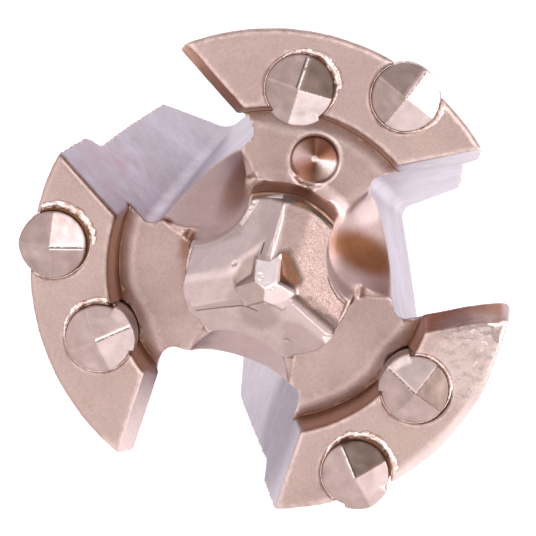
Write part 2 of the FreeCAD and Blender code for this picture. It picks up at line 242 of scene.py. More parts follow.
def forged_steel():
    """Blasted copper-toned steel: pale worn edges, cooler walls, a melted patch, and painted shade and
    highlights.
    """
    s = Shader("head_steel")
    cloud = s.ramp(s.noise(11.0, 4.0), ((0.36, 0.0), (0.66, 1.0)))
    colour = s.mixed(cloud, FACE_LIGHT, FACE_DARK)
    blush = s.ramp(s.noise(26.0, 2.0), ((0.45, 0.0), (0.75, 0.5)))
    colour = s.mixed(blush, colour, FACE_PINK)
    wall = s.ramp(s.noise(14.0, 3.0), ((0.35, WALL_LIGHT), (0.65, WALL_DARK)))
    flush = s.ramp(s.noise(7.0, 4.0, 0.65), ((0.44, 0.15), (0.62, 0.85)))
    wall = s.mixed(s.maths("MULTIPLY", s.attribute("flush"), flush), wall, WALL_PINK)
    wall = s.mixed(s.attribute("shade"), wall, WALL_SHADE)
    colour = s.mixed(s.attribute("wall"), colour, wall)
    # Painted shade on two bevels, the ring's wall, the scoops and the boss, the scoops' tone, and painted
    # highlights.
    for mask, tone in (("bevel_shade", BEVEL_SHADE), ("scoop", SCOOP), ("ring_wall_shade", RING_WALL_SHADE), ("pale", PAINTED_HIGHLIGHT), ("brown", BROWN)):
        colour = s.mixed(s.attribute(mask), colour, tone)
    # Painted shade in hollows.
    colour = s.mixed(s.ramp(s.attribute("hollow_shade"), ((0.1, 0.0), (0.8, 0.85))), colour, HOLLOW_SHADE)
    worn = s.maths("MULTIPLY", s.attribute("edge"), s.ramp(s.noise(1.3, 3.0), ((0.3, 0.35), (0.6, 1.0))))
    colour = s.mixed(s.ramp(worn, ((0.3, 0.0), (0.9, 0.5))), colour, EDGE)
    # Painted shade in the groove inside the ring.
    valley = s.ramp(s.noise(2.6, 4.0), ((0.3, VALLEY_SHADE), (0.7, VALLEY_SHADE_WARM)))
    colour = s.mixed(s.attribute("valley"), colour, valley)
    # Painted shade in corners and along some edges.
    colour = s.mixed(s.attribute("corner"), colour, CORNER_SHADE)
    colour = pit_looks(s, colour)
    melted = ((0.31, MELT_DARK), (0.42, MELT), (0.60, MELT), (0.68, MELT_SHINE))
    smear = s.ramp(s.noise(1.3, 5.0, 0.7), melted)
    colour = s.mixed(s.maths("MULTIPLY", s.attribute("melt"), 0.75), colour, smear)
    speck = s.ramp(s.noise(0.42, 2.0), ((0.3, 0.91), (0.62, 1.04)))
    colour = s.mixed(1.0, colour, speck, "MULTIPLY")
    smooth = s.maths("SUBTRACT", 1.0, s.maths("MAXIMUM", s.attribute("melt"), s.attribute("wall")))
    grain = s.bump(s.maths("MULTIPLY", s.noise(0.30, 3.0), smooth), 0.05, 0.5)
    grain = s.bump(s.maths("MULTIPLY", s.noise(1.5, 3.0), smooth), 0.05, 0.4, grain)
    grain = s.bump(s.maths("MULTIPLY", s.noise(0.7, 3.0), s.attribute("melt")), 0.07, 0.5, grain)
    gloss = s.ramp(s.noise(2.4, 4.0), ((0.3, 0.37), (0.7, 0.48)))
    gloss = s.mixed(s.attribute("melt"), gloss, (0.25, 0.25, 0.25))
    gloss = s.mixed(s.attribute("valley"), gloss, (0.55, 0.55, 0.55))
    grazing = s.mixed(s.attribute("brown"), (1.0, 1.0, 1.0), GRAZING)
    s.surface(Base_Color=colour, Metallic=1.0, Roughness=gloss, Normal=grain, Specular_Tint=grazing)
    return s.material


BIT_LENGTH = 0.6
ROD_LIGHT = (0.50, 0.47, 0.46)
ROD_DARK = (0.38, 0.355, 0.35)
ROD_DUST = (0.46, 0.37, 0.32)
SHANK = (0.56, 0.54, 0.54)
GREASE = (0.20, 0.18, 0.17)


def turned_steel():
    """Drawn and turned rod: fine marks round it, dust near the head and a shank polished by use."""
    s = Shader("rod_steel")
    product = s.node("ShaderNodeVectorMath", {"operation": "DOT_PRODUCT"}, **{"0": s.coords, "1": BIT_AXIS})
    along = product.outputs["Value"]
    place = s.maths("ADD", s.maths("DIVIDE", along, BIT_LENGTH), 0.5)
    marks = s.node("ShaderNodeTexNoise", {"noise_dimensions": "1D"}, W=along, Scale=1400.0, Detail=2.0)
    marks = marks.outputs[0]
    cloud = s.ramp(s.noise(14.0, 5.0, 0.65), ((0.36, ROD_LIGHT), (0.66, ROD_DARK)))
    settled = s.ramp(s.noise(6.0, 5.0), ((0.35, 0.3), (0.6, 1.0)))
    dust = s.maths("MULTIPLY", s.ramp(place, ((0.55, 0.0), (0.86, 0.8))), settled)
    colour = s.mixed(dust, cloud, ROD_DUST)
    grease = s.ramp(s.noise(9.0, 5.0, 0.7), ((0.48, 0.0), (0.60, 0.7)))
    grease = s.maths("MULTIPLY", grease, s.ramp(place, ((0.20, 1.0), (0.27, 0.0))))
    colour = s.mixed(s.ramp(place, ((0.22, 0.6), (0.25, 0.0))), colour, SHANK)
    colour = s.mixed(grease, colour, GREASE)
    colour = s.mixed(1.0, colour, s.ramp(marks, ((0.3, 0.86), (0.7, 1.05))), "MULTIPLY")
    grain = s.bump(marks, 0.06, 0.5)
    grain = s.bump(s.noise(1.6, 3.0), 0.06, 0.4, grain)
    gloss = s.ramp(s.noise(5.0, 4.0), ((0.3, 0.28), (0.7, 0.44)))
    s.surface(Base_Color=colour, Metallic=1.0, Roughness=gloss, Normal=grain)
    return s.material


# Carbide tones from dark to light, used to paint each facet's light and shade.
CARBIDE_SHADING = (
    (0.0, (0.205, 0.103, 0.065)),
    (0.04, (0.19, 0.095, 0.060)),
    (0.10, (0.16, 0.115, 0.095)),
    (0.25, (0.25, 0.185, 0.16)),
    (0.5, (0.455, 0.345, 0.32)),
    (0.75, (0.65, 0.54, 0.52)),
    (1.0, (0.97, 0.87, 0.85)),
)
CARBIDE_SPOTS = ((0.34, (0.70, 0.60, 0.53)), (0.50, (0.94, 0.91, 0.88)), (0.66, (1.20, 1.20, 1.20)))
CARBIDE_EDGE = (0.80, 0.73, 0.72)
# Painted highlight lines and dark lines.
CARBIDE_HIGHLIGHT = (0.92, 0.86, 0.84)
CARBIDE_DARK = (0.09, 0.06, 0.05)


def ground_carbide():
    """Sintered carbide: facets in painted light and shade, coarse rough places, ground lands, painted
    highlight and dark lines.
    """
    s = Shader("carbide")
    # Each facet's tone paints its light and shade, a little uneven.
    uneven = s.maths("MULTIPLY", s.maths("SUBTRACT", s.noise(2.2, 4.0), 0.5), 0.16)
    tone = s.maths("ADD", s.attribute("tone"), uneven)
    colour = s.ramp(tone, CARBIDE_SHADING)
    coarse = s.attribute("coarse")
    spots = s.ramp(s.noise(0.24, 3.0, 0.7), CARBIDE_SPOTS)
    colour = s.mixed(coarse, colour, s.mixed(1.0, colour, spots, "MULTIPLY"))
    worn = s.maths("MULTIPLY", s.attribute("edge"), s.ramp(s.noise(0.8, 3.0), ((0.35, 0.0), (0.65, 1.0))))
    colour = s.mixed(s.ramp(worn, ((0.3, 0.0), (1.0, 0.4))), colour, CARBIDE_EDGE)
    speck = s.ramp(s.noise(0.30, 2.0), ((0.3, 0.93), (0.62, 1.03)))
    colour = s.mixed(1.0, colour, speck, "MULTIPLY")
    # Painted highlight lines, then dark lines.
    bright = s.ramp(s.attribute("bright"), ((0.84, 0.0), (0.92, 0.85)))
    colour = s.mixed(bright, colour, CARBIDE_HIGHLIGHT)
    dark = s.ramp(s.attribute("dark"), ((0.85, 0.0), (0.93, 0.85)))
    colour = s.mixed(dark, colour, CARBIDE_DARK)
    grain = s.bump(s.noise(0.22, 3.0), 0.03, 0.5)
    grain = s.bump(s.maths("MULTIPLY", s.noise(0.26, 3.0), coarse), 0.13, 0.8, grain)
    gloss = s.ramp(s.noise(1.6, 4.0), ((0.3, 0.36), (0.7, 0.50)))
    s.surface(Base_Color=colour, Metallic=1.0, Roughness=gloss, Normal=grain)
    return s.material


BRAZE_TONES = ((0.34, (0.52, 0.36, 0.30)), (0.50, (0.80, 0.64, 0.58)), (0.64, (0.99, 0.92, 0.88)))
BRAZE_GAP_SHADE = (0.17, 0.085, 0.05)
OLD_BRAZE_LIGHT = (0.38, 0.22, 0.15)
OLD_BRAZE_DARK = (0.26, 0.14, 0.09)


def brazed_joint():
    """Lumpy braze, bright where it is worn, and painted dark brown shadow in the gap beside the carbide."""
    s = Shader("braze")
    colour = s.ramp(s.noise(0.9, 4.0, 0.7), BRAZE_TONES)
    # The gap beside the carbide is painted dark brown as shadow.
    colour = s.mixed(s.attribute("gap"), colour, BRAZE_GAP_SHADE)
    grain = s.bump(s.noise(0.5, 3.0), 0.10, 0.6)
    gloss = s.ramp(s.noise(1.4, 3.0), ((0.3, 0.24), (0.7, 0.42)))
    s.surface(Base_Color=colour, Metallic=1.0, Roughness=gloss, Normal=grain)
    return s.material


def stained_joint():
    """Braze deep in a joint, brown and cloudy with a fine grain."""
    s = Shader("old_braze")
    cloud = s.ramp(s.noise(9.0, 4.0), ((0.35, 0.0), (0.68, 1.0)))
    colour = s.mixed(cloud, OLD_BRAZE_LIGHT, OLD_BRAZE_DARK)
    fine = s.ramp(s.noise(0.45, 2.0), ((0.3, 0.86), (0.62, 1.05)))
    colour = s.mixed(1.0, colour, fine, "MULTIPLY")
    grain = s.bump(s.noise(0.28, 3.0), 0.05, 0.55)
    grain = s.bump(s.noise(1.6, 3.0), 0.07, 0.5, grain)
    gloss = s.ramp(s.noise(2.4, 4.0), ((0.3, 0.39), (0.7, 0.52)))
    s.surface(Base_Color=colour, Metallic=1.0, Roughness=gloss, Normal=grain)
    return s.material


head_steel = forged_steel()
rod_steel = turned_steel()
carbide = ground_carbide()
braze = brazed_joint()
old_braze = stained_joint()

for name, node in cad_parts.items():
    if name == "head_body":
        looks = head_steel
    elif name == "drill_rod":
        looks = rod_steel
    elif name.endswith("braze"):
        looks = old_braze
    else:
        looks = carbide
    for slot in node.material_slots:
        slot.material = looks


# Shape helpers

# What points are multiplied by to be seen along the bit's axis.
FLAT = (1, 1, 0)


def bit_copy(node):
    """Copy of a CAD node's mesh in the bit's frame, in mm."""
    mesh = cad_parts[node].data.copy()
    mesh.materials.clear()
    mesh.transform(TO_BIT)
    return mesh


def evaluated(mesh, modifiers):
    """The mesh that comes out of some modifiers, given as (kind, settings)."""
    holder = bpy.data.objects.new("holder", mesh)
    scene.collection.objects.link(holder)
    for kind, settings in modifiers:
        modifier = holder.modifiers.new(kind, kind)
        for key, value in settings.items():
            setattr(modifier, key, value)
    result = bpy.data.meshes.new_from_object(holder.evaluated_get(bpy.context.evaluated_depsgraph_get()))
    bpy.data.objects.remove(holder)
    return result


def vectors_of(mesh, key="co"):
    values = np.empty(len(mesh.vertices) * 3)
    mesh.vertices.foreach_get(key, values)
    return values.reshape(-1, 3)


def edges_of(mesh):
    values = np.empty(len(mesh.edges) * 2, dtype=np.int64)
    mesh.edges.foreach_get("vertices", values)
    return values.reshape(-1, 2)


def placed(mesh, points):
    mesh.vertices.foreach_set("co", points.ravel())
    mesh.update()


def remeshed(node, voxel):
    """Copy of a CAD node in the bit's frame with an even mesh that lies on its surface."""
    target = bpy.data.objects.new("target", bit_copy(node))
    scene.collection.objects.link(target)
    mesh = evaluated(
        target.data.copy(),
        [
            ("WELD", {"merge_threshold": 0.002}),
            ("REMESH", {"mode": "VOXEL", "voxel_size": voxel}),
            ("SHRINKWRAP", {"wrap_method": "NEAREST_SURFACEPOINT", "target": target}),
        ],
    )
    bpy.data.objects.remove(target)
    return mesh


def thinned(mesh, budget):
    """The mesh with no more triangles than a budget."""
    count = sum(len(p.vertices) - 2 for p in mesh.polygons)
    if count <= budget:
        return mesh
    return evaluated(mesh, [("DECIMATE", {"ratio": budget / count})])


def beside(values, edges):
    """For each point, the sum of its neighbours' values."""
    first, second = edges[:, 0], edges[:, 1]
    return np.bincount(first, values[second], len(values)) + np.bincount(second, values[first], len(values))


def relaxed(points, edges, weight, rounds):
    """Points drawn towards the mean of their neighbours, by a weight for each point."""
    edges = edges[(weight[edges[:, 0]] > 0) | (weight[edges[:, 1]] > 0)]
    count = np.maximum(np.bincount(edges.ravel(), minlength=len(points)), 1)
    points = points.copy()
    for _ in range(rounds):
        for axis in range(3):
            column = points[:, axis]
            points[:, axis] = column + weight * (beside(column, edges) / count - column)
    return points


def smoothed(points, edges, rounds):
    """Points drawn halfway towards the mean of their neighbours, all alike."""
    return relaxed(points, edges, np.full(len(points), 0.5), rounds)


def bulging(mesh, points, edges, rounds):
    """How far each point stands out of the surface smoothed by some rounds (mm)."""
    far = smoothed(points, edges, rounds)
    return np.einsum("ij,ij->i", points - far, vectors_of(mesh, "normal"))


def outward(angle):
    """Direction at an angle round the axis."""
    return np.array((math.cos(math.radians(angle)), math.sin(math.radians(angle)), 0))


def reach_of(points):
    """Distance of each point from the axis."""
    return np.hypot(points[:, 0], points[:, 1])


def turn_of(points):
    """Angle of each point round the axis, in degrees."""
    return np.degrees(np.arctan2(points[:, 1], points[:, 0]))


def angle_from(turn, place):
    """Angle from one place round an axis to another, between -180 and 180 degrees."""
    return (turn - place + 180) % 360 - 180


def rise(values, low, high):
    """0 below low, 1 above high and smooth between."""
    t = np.clip((values - low) / (high - low), 0, 1)
    return t * t * (3 - 2 * t)


def band(values, low, high, soft):
    """1 between two values, falling to 0 over a soft edge on both sides."""
    return rise(values, low - soft, low) * (1 - rise(values, high, high + soft))


def ellipse(points, centre, turn, long, wide, soft):
    """1 in an ellipse seen along the axis, with its long side turned, falling to 0 over a soft edge."""
    angle = math.radians(turn)
    x, y = points[:, 0] - centre[0], points[:, 1] - centre[1]
    along = (x * math.cos(angle) + y * math.sin(angle)) / long
    across = (y * math.cos(angle) - x * math.sin(angle)) / wide
    return 1 - rise(np.hypot(along, across), 1, 1 + soft)


def near(points, centre, radius, soft):
    """1 within a radius of a place, falling to 0 over a soft edge."""
    return 1 - rise(np.linalg.norm(points - np.array(centre), axis=1), radius, radius + soft)


def field(points, size, octaves=3, shift=0.0):
    """Smooth noise from about -1 to 1, with features about a size in mm wide."""
    scale = 1 / size
    return np.array(
        [noise.fractal(Vector(p) * scale + Vector((shift, 0, 0)), 0.9, 2.0, octaves) for p in points]
    )


def spread(values, edges, rounds):
    """Values blurred over the mesh."""
    count = np.maximum(np.bincount(edges.ravel(), minlength=len(values)), 1)
    for _ in range(rounds):
        values = 0.5 * values + 0.5 * beside(values, edges) / count
    return values


def set_mask(mesh, name, values):
    mask = mesh.attributes.new(name, "FLOAT", "POINT")
    mask.data.foreach_set("value", np.clip(values, 0, 1).astype(np.float32))


def piece(name, mesh, looks, slot, *nodes):
    """Object on the bit from a mesh in the bit's frame, in place of some CAD nodes."""
    mesh.transform(TO_PART)
    mesh.name = name
    made = bpy.data.objects.new(name, mesh)
    scene.collection.objects.link(made)
    mesh.materials.append(looks)
    mesh.shade_smooth()
    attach(made, "root")
    if nodes:
        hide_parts(*nodes)


# Head

# Angle of the first of three flutes round the axis, and what is just short of the second one's.
FLUTE_ANGLE = 11.4
SECOND_FLUTE = 131
# Depth at which the bevels in front of the undercut walls end.
BEVEL_END = -6.1
# How far to its side each wall of a flute lies in front, and how it leans with depth.
TRAILING_SIDE = 13.2
LEADING_SIDE = -12.9
TRAILING_LEAN = 0.187
LEADING_LEAN = 0.2
# Round cut of a scoop: a point of its axis (distance out, z), its radius, and the slant of its axis.
SCOOP_OUT = 13.55
SCOOP_Z = 3.75
SCOOP_RADIUS = 8.6
SCOOP_COS = 0.866
SCOOP_SIN = 0.5
# Radius of the ring's inner wall at its foot, height of the web, and how far it drops before that wall.
RING_FOOT = 25.9
WEB_Z = -8.02
WEB_DROP = 0.55
# Radius at which the web starts to drop, how much sooner it does beside the inner inserts, and their angles.
GROOVE_START = 22.9
GROOVE_SOONER = 1.2
GROOVE_PLACES = (81.0, 203.0, 321.0)
# Angle of the part's +X round the bit's axis, and how far out that way the head may reach.
WIDEST_ANGLE = -19.72
WIDEST_REACH = 38.25
# Middle of the drilled pit and how far round it the web stays as it is.
PIT = (6.65, 17.15, 0.0)
PIT_CLEAR = 4.3
# Middles of the boss's worn lip, the melted patch, and a flushed and a shaded wall.
BOSS_LIP = (12.9, 8.9, -8.3)
MELT_PLACE = (33.0, -14.0, -1.0)
FLUSHED_WALL = (-21.0, 12.0, -14.0)
SHADED_WALL = (-4.5, -26.0, -16.0)
# How far out the corner between a flute's leading wall and the arm's end lies.
ARM_CORNER = 36.3
# Painted shade (brown) and painted highlight (pale) patches in the scoops: centre (x, y), turn, half sizes,
# soft edge and strength.
SCOOP_SHADE_PATCHES = (
    ((14.3, 1.5), -35.0, 3.8, 1.5, 1.5, 0.95),
    ((17.4, -2.6), -50.0, 1.6, 1.2, 1.5, 0.35),
    ((-5.2, 13.4), 60.0, 3.4, 1.3, 1.4, 0.6),
)
SCOOP_HIGHLIGHT_PATCHES = (((15.4, 8.2), 30.0, 1.6, 1.6, 1.0, 0.55), ((10.9, 3.2), 70.0, 1.2, 0.8, 1.2, 0.15))


def in_flutes(vectors):
    """The parts of some vectors out along each flute and to its side."""
    for k in range(3):
        out = outward(FLUTE_ANGLE + 120 * k)
        side = np.array((-out[1], out[0], 0))
        yield vectors @ out, vectors @ side


def scoops(points):
    """1 on the round scoops that lead into the flutes."""
    found = np.zeros(len(points))
    z = points[:, 2]
    for u, v in in_flutes(points):
        away = np.hypot((u - SCOOP_OUT) * SCOOP_COS + (z - SCOOP_Z) * SCOOP_SIN, v)
        on = band(away, 8.2, 8.9, 0.25) * (u > 7.5) * (u < 18.6) * (z < -4.9) * (z > -27)
        found = np.maximum(found, on)
    return found


def flute_walls(points, normals):
    """1 on the side walls and the floors of the three flutes."""
    found = np.zeros(len(points))
    z = points[:, 2]
    for (u, v), (n_out, n_side) in zip(in_flutes(points), in_flutes(normals)):
        middle = (0.5 + TRAILING_LEAN * z + LEADING_LEAN * (z - BEVEL_END)) / 2
        trailing = rise(-n_side, 0.45, 0.7) * (v > middle) * (z < -0.4)
        leading = rise(n_side, 0.45, 0.7) * (v < middle) * (z < -6.3)
        floor = rise(n_out, 0.6, 0.85) * (u < 17.9 - 0.05 * z) * (z < -7.5)
        leading_side = LEADING_SIDE + LEADING_LEAN * (np.minimum(z, BEVEL_END) - BEVEL_END)
        inside_flute = (u > 16.2) * (v < TRAILING_SIDE + TRAILING_LEAN * z) * (v > leading_side)
        found = np.maximum(found, np.maximum(np.maximum(trailing, leading), floor) * inside_flute)
    return found


def bevels(points, normals, flutes):
    """1 on the bevels in front of the undercut walls of some flutes, counted from 0."""
    found = np.zeros(len(points))
    z = points[:, 2]
    for k, ((u, v), (_, n_side)) in enumerate(zip(in_flutes(points), in_flutes(normals))):
        if k in flutes:
            on = rise(n_side, 0.5, 0.8) * (v < -8) * (v > -15.5) * band(z, -6.0, -0.25, 0.2) * (u > 21.5)
            found = np.maximum(found, on)
    return found


def patches(points, rows):
    found = np.zeros(len(points))
    for centre, turn, long, wide, soft, strength in rows:
        found = np.maximum(found, strength * ellipse(points, centre, turn, long, wide, soft))
    return found


def groove_start(turn):
    """Radius at which the web starts to slope down to the ring, smaller beside the inner inserts."""
    share = sum(np.exp(-(angle_from(turn, place) / 11.0) ** 2) for place in GROOVE_PLACES)
    return GROOVE_START - GROOVE_SOONER * share


def on_arms(points):
    """True on the arms and the web, clear of the drilled pit and of the scoops."""
    clear = np.hypot(points[:, 0] - PIT[0], points[:, 1] - PIT[1]) > PIT_CLEAR
    for u, v in in_flutes(points):
        clear &= (u < 0) | (np.hypot(u - 17.4, v) > 8.9)
    return clear


def sloped_web(points, radius, turn, arm):
    """Points with the web at one level that slopes down towards the ring."""
    z = points[:, 2]
    web = arm & (z > -9.3) & (z < -7.9) & (radius > 13.6) & (radius < RING_FOOT - 0.05)
    begin = groove_start(turn)
    level = WEB_Z - WEB_DROP * np.clip((radius - begin) / (RING_FOOT - begin), 0, 1) ** 1.3
    points = points.copy()
    points[:, 2] = np.where(web, level, z)
    return points


def filled(points):
    """Points with the narrow step between each notch and its scoop raised to carry on the scoop's slope."""
    points = points.copy()
    z = points[:, 2]
    radius = reach_of(points)
    for u, v in in_flutes(points):
        across = np.sqrt(np.maximum(SCOOP_RADIUS ** 2 - v * v, 0))
        slope = SCOOP_Z - across / SCOOP_SIN - SCOOP_COS / SCOOP_SIN * (u - SCOOP_OUT)
        step = band(z, -8.75, -8.25, 0.35) * (u > 0) * (np.abs(v) < 8.0) * (1 - rise(radius, 12.9, 13.5))
        points[:, 2] += np.clip(slope - z, 0, 2.4) * step
    return points


def extended(points, radius, turn):
    """Points with the end of the arm at the picture's right moved out, as far as the head may reach."""
    reach = rise(radius, 31.0, 37.5) * band(turn, -62.0, -4.0, 8.0) * (0.5 + 0.4 * rise(turn, -20.0, -8.0))
    room = WIDEST_REACH / np.maximum(np.cos(np.radians(turn - WIDEST_ANGLE)), 0.5) - radius
    points = points.copy()
    points[:, :2] *= (1 + np.minimum(reach, np.maximum(room, 0)) / np.maximum(radius, 1.0))[:, None]
    return points


def softened(points, edges, radius, turn):
    """Points with the scoops' steps, the boss's lip over a scoop and the right arm's end drawn smooth."""
    z = points[:, 2]
    soft = near(points, BOSS_LIP, 2.4, 2.6)
    for u, v in in_flutes(points):
        step = (u > 7.0) * (np.abs(v) < 8.6) * (radius < 14.2)
        soft = np.maximum(soft, step * band(z, -11.5, -5.6, 0.8))
    end = rise(radius, 36.6, 37.4) * band(turn, -40.0, 3.0, 6.0) * rise(z, -6.0, -4.0)
    return relaxed(points, edges, 0.5 * np.maximum(soft, 0.7 * end), 50)


def rounded_corner(points, edges):
    """Points with the outer corner of the first flute's leading wall rounded from front to back."""
    u, v = next(in_flutes(points))
    depth = points[:, 2] - BEVEL_END
    away = np.hypot(u - ARM_CORNER, v - LEADING_SIDE - np.where(depth < 0, LEADING_LEAN, -0.45) * depth)
    soft = (1 - rise(away, 2.0, 4.4)) * rise(points[:, 2], -26.0, -22.0)
    return relaxed(points, edges, 0.5 * soft, 90)


def unevenness(points, normals, edges, radius, turn, melt):
    """How far the skin stands out (mm): waves, calmer on the flutes' walls, and folds in the melted patch."""
    calm = spread(flute_walls(points, normals), edges, 5)
    waves = 0.05 * (field(points, 3.2, 3) - 0.6) * (1 - 0.8 * calm)
    smear = np.stack([radius * 0.5, np.radians(turn) * radius, points[:, 2]], axis=1)
    folds = melt * 0.055 * (field(smear, 0.8, 3, 7.0) - 0.75)
    return waves + (folds + melt * 0.05 * (field(points, 3.2, 2, 9.0) - 0.75))


class HeadMasks:
    """Masks that place the head's tones, painted shade and painted highlights, worked out from its finished
    points.
    """

    def __init__(self, mesh, points, edges, radius, turn):
        self.mesh = mesh
        self.points = points
        self.edges = edges
        self.radius = radius
        self.turn = turn
        self.z = points[:, 2]
        self.begin = groove_start(turn)
        self.normals = vectors_of(mesh, "normal")
        self.scoop = spread(scoops(points), edges, 4)
        self.front_bevels = bevels(points, self.normals, (0, 1))
        walls = flute_walls(points, self.normals)
        self.wall = spread(walls, edges, 5) * (1 - self.scoop) * (1 - self.front_bevels)
        # The wall past the second flute gets painted shade along its edges, and so does the left arm's rim.
        self.past_flute = turn > SECOND_FLUTE
        wall_edges = self.level(-1.1, -0.3, 0.2) + self.level(-9.4, -8.2, 0.3) * (radius < 25.6)
        self.line = walls * self.past_flute * wall_edges
        self.outer = band(np.abs(turn), 137.0, 181.0, 3.0) * rise(self.z, -9.0, -6.0)
        self.top_arm = self.sector(26.0, 114.0, 5.0)
        # The top arm's boss wall, painted in shade.
        self.boss_wall = self.ring(12.9, 13.9, 0.2) * rise(self.z, -9.0, -5.5) * (self.z < 3.8) * self.top_arm

    def ring(self, inner, outer, soft):
        return band(self.radius, inner, outer, soft)

    def sector(self, first, last, soft):
        return band(self.turn, first, last, soft)

    def level(self, low, high, soft):
        return band(self.z, low, high, soft)

    def put(self, name, values):
        set_mask(self.mesh, name, values)

    def wear(self, foot, melt):
        """Pale worn edges and painted shade in hollows, kept off what is smooth, melted or still sharp."""
        bulge = bulging(self.mesh, self.points, self.edges, 8) / 0.11
        _, v = list(in_flutes(self.points))[1]
        lip = band(v, 12.0, 13.6, 0.3) * self.past_flute * self.level(-1.6, 0.2, 0.2)
        sharp = np.maximum(spread(self.line, self.edges, 14) * 6, self.boss_wall)
        sharp = np.maximum(sharp, np.maximum(0.8 * foot, lip))
        sharp = np.maximum(sharp, 0.9 * self.outer * rise(self.radius, 37.0, 37.6))
        self.put("edge", bulge * (1 - self.scoop * 0.9) * (1 - 0.9 * np.clip(sharp, 0, 1)))
        pit = near(self.points * FLAT, PIT, 3.7, 0.5) * (self.z < -7.6)
        open_web = self.ring(13.4, 24.5, 0.3) * self.level(-9.4, -7.0, 0.4)
        hollow_shade = -bulge * (1 - melt) * (1 - pit) * (1 - self.wall) * (1 - self.scoop) * (1 - open_web)
        self.put("hollow_shade", hollow_shade)
        self.put("melt", melt)

    def areas(self):
        """Scoops, painted shade on the front bevels, and the flutes' walls with a flushed part and a part in
        painted shade.
        """
        self.put("wall", self.wall)
        self.put("flush", near(self.points, FLUSHED_WALL, 9.0, 10.0))
        self.put("shade", self.wall * near(self.points, SHADED_WALL, 10.0, 8.0))
        self.put("scoop", self.scoop * 0.8)
        self.put("bevel_shade", self.front_bevels)

    def groove(self):
        """Painted shade in the groove inside the ring, on the ring's wall with a copper reflection, and in
        corners and lines beside them.
        """
        groove = 0.6 * rise(self.radius, self.begin + 1.0, 25.6) * (self.radius < 26.4)
        groove = groove * (self.z < -7.7) * (self.z > -11.0)
        self.put("valley", spread(groove * (1 - self.wall), self.edges, 2))
        ring_wall = self.ring(25.2, 26.3, 0.2) * self.level(-8.4, -0.6, 0.3)
        self.put("ring_wall_shade", 0.8 * ring_wall * (1 - self.wall))
        corner = 0.85 * self.ring(25.05, 26.4, 0.3) * self.level(-11.0, -6.4, 1.4)
        left_arm = band(np.abs(self.turn), 120.0, 181.0, 5.0)
        corner += 0.55 * self.ring(14.0, 14.5, 0.25) * self.level(-9.0, -7.4, 0.4) * left_arm
        lower = 0.45 * self.sector(-95.0, -55.0, 8.0) + 0.3 * self.sector(-174.0, -134.0, 8.0)
        corner += lower * self.ring(25.0, 26.8, 0.5) * self.level(-11.0, -4.8, 1.6)
        corner += 0.35 * self.outer * rise(self.radius, 37.8, 38.2)
        corner = spread(corner * (1 - self.wall) * (1 - self.scoop), self.edges, 1) * 0.9
        self.put("corner", np.maximum(corner, 1.2 * spread(self.line, self.edges, 2)))

    def stains(self):
        """Painted shade and highlights in the scoops, on the boss, beside it and along the right arm's rim,
        and a brown patch.
        """
        brown_patch = self.ring(13.9, 15.2, 0.5) * self.sector(150.0, 172.0, 6.0) * self.level(-9.3, -7.0, 0.3)
        brown = (0.75 * self.boss_wall + 0.55 * brown_patch) * (1 - self.scoop)
        self.put("brown", self.scoop * patches(self.points, SCOOP_SHADE_PATCHES) + brown)
        # Painted highlights on the shoulders beside the boss and the groove, on the right arm's rim and one
        # front bevel.
        shoulder = self.ring(14.1, 15.4, 0.5) * self.level(-8.6, -7.0, 0.4)
        shine = shoulder * (0.30 * self.top_arm + 0.65 * self.sector(30.0, 62.0, 6.0))
        shine += 0.35 * self.ring(self.begin - 0.2, self.begin + 0.6, 0.4) * self.level(-8.6, -7.6, 0.2)
        rim = rise(self.radius, 36.7, 37.5) * self.sector(-58.0, 4.0, 4.0) * rise(self.z, -9.0, -6.0)
        pale = self.scoop * patches(self.points, SCOOP_HIGHLIGHT_PATCHES) + shine * (1 - self.scoop) + 0.6 * rim
        self.put("pale", pale + bevels(self.points, self.normals, (2,)) * 0.9)

    def pit(self):
        """Place round the drilled pit: x and y from its middle (cm), with 0.5 added."""
        by_pit = (self.z < -7.3) & (self.z > -13)
        for k, name in enumerate(("pit_x", "pit_y")):
            self.put(name, np.where(by_pit, 0.5 + (self.points[:, k] - PIT[k]) / 10, 0.0))


def make_head():
    """Forged head with rounded edges, uneven faces and a part of one arm that was melted smooth."""
    mesh = remeshed("head_body", HEAD_VOXEL)
    edges = edges_of(mesh)
    points = smoothed(vectors_of(mesh), edges, 3)
    radius = reach_of(points)
    turn = turn_of(points)
    arm = on_arms(points)
    points = extended(filled(sloped_web(points, radius, turn, arm)), radius, turn)
    foot = band(radius, 25.3, 26.1, 0.4) * band(points[:, 2], -9.6, -7.2, 0.5) * arm
    points = relaxed(points, edges, 0.5 * foot, 5)
    points = rounded_corner(softened(points, edges, radius, turn), edges)
    placed(mesh, points)
    radius = reach_of(points)
    melt = near(points, MELT_PLACE, 5.5, 5.0) * rise(points[:, 2], -14, -10) * rise(radius, 25.0, 29.0)
    normals = vectors_of(mesh, "normal")
    points = points + normals * unevenness(points, normals, edges, radius, turn, melt)[:, None]
    placed(mesh, points)
    masks = HeadMasks(mesh, points, edges, radius, turn)
    masks.wear(foot, melt)
    masks.areas()
    masks.groove()
    masks.stains()
    masks.pit()
    piece("head_forging", thinned(mesh, HEAD_BUDGET), head_steel, "head_steel", "head_body")


HEAD_VOXEL = 0.36
HEAD_BUDGET = 190000
make_head()


# Carbide tip
def inside(points, corners, soft):
    """1 inside a polygon of (x, y) corners, falling to 0 over a soft edge outside it."""
    x, y = points[:, 0], points[:, 1]
    away = np.full(len(points), 1e9)
    odd = np.zeros(len(points), dtype=bool)
    for (x1, y1), (x2, y2) in zip(corners, corners[1:] + corners[:1]):
        dx, dy = x2 - x1, y2 - y1
        t = np.clip(((x - x1) * dx + (y - y1) * dy) / (dx * dx + dy * dy), 0, 1)
        away = np.minimum(away, np.hypot(x - x1 - t * dx, y - y1 - t * dy))
        if dy:
            odd ^= ((y1 > y) != (y2 > y)) & (x < x1 + dx * (y - y1) / dy)
    return np.where(odd, 1.0, 1 - rise(away, 0, soft))
